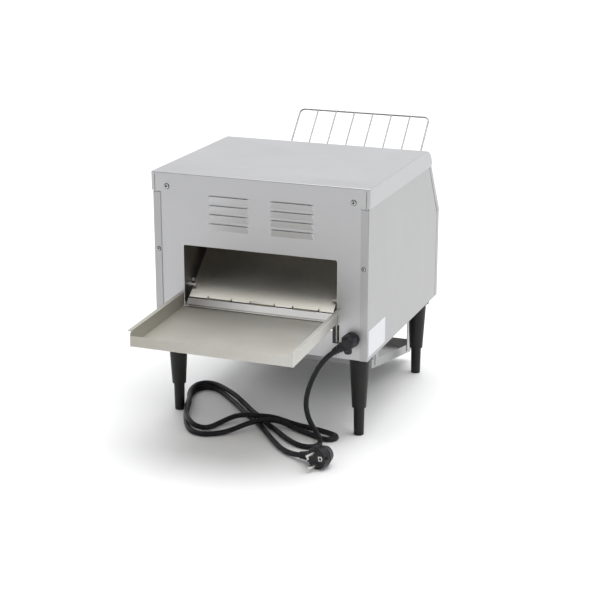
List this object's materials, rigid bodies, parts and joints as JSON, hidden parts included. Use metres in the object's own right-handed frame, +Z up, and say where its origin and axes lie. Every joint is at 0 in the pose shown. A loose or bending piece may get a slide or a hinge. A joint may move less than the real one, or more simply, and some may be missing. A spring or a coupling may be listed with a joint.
{
  "type": "conveyor toaster",
  "caption": "Counter-top conveyor toaster in sheet steel on tapered black legs, with a wire loading rack, toast slide and rear tray, sloping lower tray and mains lead.",
  "frame": {"origin": "middle of the footprint of the toaster with its trays and rack, without the mains lead, on the surface it stands on", "axes": "+Z up; +Y from the discharge tray towards the loading rack; +X to the right seen from the discharge side"},
  "size_m": [0.3724, 0.7136, 0.437],
  "materials": {
    "brushed_sheet": "fine brushed",
    "polished_sheet": "bright, lightly brushed",
    "bright_wire": "bright drawn wire",
    "zinc_steel": "zinc plated",
    "leg_black": "satin",
    "motor_grey": "satin",
    "brass": "machined",
    "quartz": "milky",
    "ceramic": "fired ceramic, matte",
    "black_plastic": "satin",
    "switch_grey": "moulded",
    "lamp_amber": "translucent gloss",
    "blank_label": "printed film, left blank",
    "cord_black": "satin",
    "nickel": "nickel plated"
  },
  "bodies": {
    "root": {"base_plate": "brushed_sheet", "rear_panel": "brushed_sheet", "left_side_panel": "brushed_sheet", "right_side_panel": "brushed_sheet", "top_cover": "brushed_sheet", "loading_panel": "brushed_sheet", "front_panel": "brushed_sheet", "left_inner_wall": "brushed_sheet", "right_inner_wall": "brushed_sheet", "left_tray_rail": "brushed_sheet", "right_tray_rail": "brushed_sheet", "motor_bracket": "brushed_sheet", "upper_reflector": "polished_sheet", "lower_reflector": "polished_sheet", "outlet_lip": "polished_sheet", "conveyor_belt": "bright_wire", "rack_sockets": "bright_wire", "drive_chain": "zinc_steel", "ramp_studs": "zinc_steel", "cover_screws": "zinc_steel", "flange_screws": "zinc_steel", "gland_screw": "zinc_steel", "rear_left_leg": "leg_black", "rear_right_leg": "leg_black", "front_left_leg": "leg_black", "front_right_leg": "leg_black", "gear_motor": "motor_grey", "shaft_bushes": "brass", "upper_elements": "quartz", "lower_elements": "quartz", "element_caps": "ceramic", "fan_housing": "black_plastic", "heat_switch": "switch_grey", "speed_regulator": "switch_grey", "indicator_lamps": "lamp_amber", "terminal_block": "ceramic", "thermal_cutout": "zinc_steel", "rating_plate": "blank_label", "cord_gland": "cord_black", "power_cord": "cord_black", "plug_body": "cord_black", "plug_pins": "nickel"},
    "rear_tray": {"rear_tray": "brushed_sheet"},
    "lower_tray": {"lower_tray": "brushed_sheet"},
    "toast_ramp": {"toast_ramp": "polished_sheet"},
    "loading_rack": {"loading_rack": "bright_wire"},
    "drive": {"drive_shaft": "zinc_steel", "drive_sprockets": "zinc_steel", "drive_chainwheel": "zinc_steel"},
    "idler": {"idler_shaft": "zinc_steel", "idler_sprockets": "zinc_steel"},
    "motor_output": {"motor_sprocket": "zinc_steel"},
    "fan_rotor": {"fan_rotor": "black_plastic"},
    "heat_knob": {"heat_knob": "black_plastic"},
    "speed_knob": {"speed_knob": "black_plastic"},
    "rear_left_foot": {"rear_left_foot": "leg_black"},
    "rear_right_foot": {"rear_right_foot": "leg_black"},
    "front_left_foot": {"front_left_foot": "leg_black"},
    "front_right_foot": {"front_right_foot": "leg_black"}
  },
  "joints": [
    {"name": "rear_tray_pull", "type": "slide", "parent": "root", "child": "rear_tray", "axis": [0, -1, 0], "range_m": [0, 0.03]},
    {"name": "lower_tray_pull", "type": "slide", "parent": "root", "child": "lower_tray", "axis": [0, 0.9831, -0.1829], "range_m": [0, 0.15]},
    {"name": "ramp_lift", "type": "hinge", "parent": "root", "child": "toast_ramp", "pos_m": [0, -0.16235, 0.21003], "axis": [1, 0, 0], "range_deg": [0, 6]},
    {"name": "rack_lift", "type": "slide", "parent": "root", "child": "loading_rack", "axis": [0, 0, 1], "range_m": [0, 0.03]},
    {"name": "belt_drive", "type": "hinge", "parent": "root", "child": "drive", "pos_m": [0, -0.0668, 0.322], "axis": [1, 0, 0], "continuous": true},
    {"name": "belt_idler", "type": "hinge", "parent": "root", "child": "idler", "pos_m": [0, 0.20024, 0.322], "axis": [1, 0, 0], "continuous": true},
    {"name": "motor_turn", "type": "hinge", "parent": "root", "child": "motor_output", "pos_m": [-0.1415, -0.0668, 0.215], "axis": [1, 0, 0], "continuous": true},
    {"name": "fan_spin", "type": "hinge", "parent": "root", "child": "fan_rotor", "pos_m": [0, 0.0882, 0.152], "axis": [0, 0, 1], "continuous": true},
    {"name": "heat_select", "type": "hinge", "parent": "root", "child": "heat_knob", "pos_m": [0.062, 0.2382, 0.214], "axis": [0, -1, 0], "range_deg": [0, 270]},
    {"name": "speed_adjust", "type": "hinge", "parent": "root", "child": "speed_knob", "pos_m": [-0.062, 0.2382, 0.214], "axis": [0, -1, 0], "range_deg": [0, 270]},
    {"name": "rear_left_foot_screw", "type": "slide", "parent": "root", "child": "rear_left_foot", "axis": [0, 0, 1], "range_m": [-0.01, 0.03]},
    {"name": "rear_right_foot_screw", "type": "slide", "parent": "root", "child": "rear_right_foot", "axis": [0, 0, 1], "range_m": [-0.01, 0.03]},
    {"name": "front_left_foot_screw", "type": "slide", "parent": "root", "child": "front_left_foot", "axis": [0, 0, 1], "range_m": [-0.01, 0.03]},
    {"name": "front_right_foot_screw", "type": "slide", "parent": "root", "child": "front_right_foot", "axis": [0, 0, 1], "range_m": [-0.01, 0.03]}
  ],
  "couplings": [
    {"joint": "belt_idler", "follows": "belt_drive", "ratio": 1},
    {"joint": "motor_turn", "follows": "belt_drive", "ratio": 1.5}
  ]
}
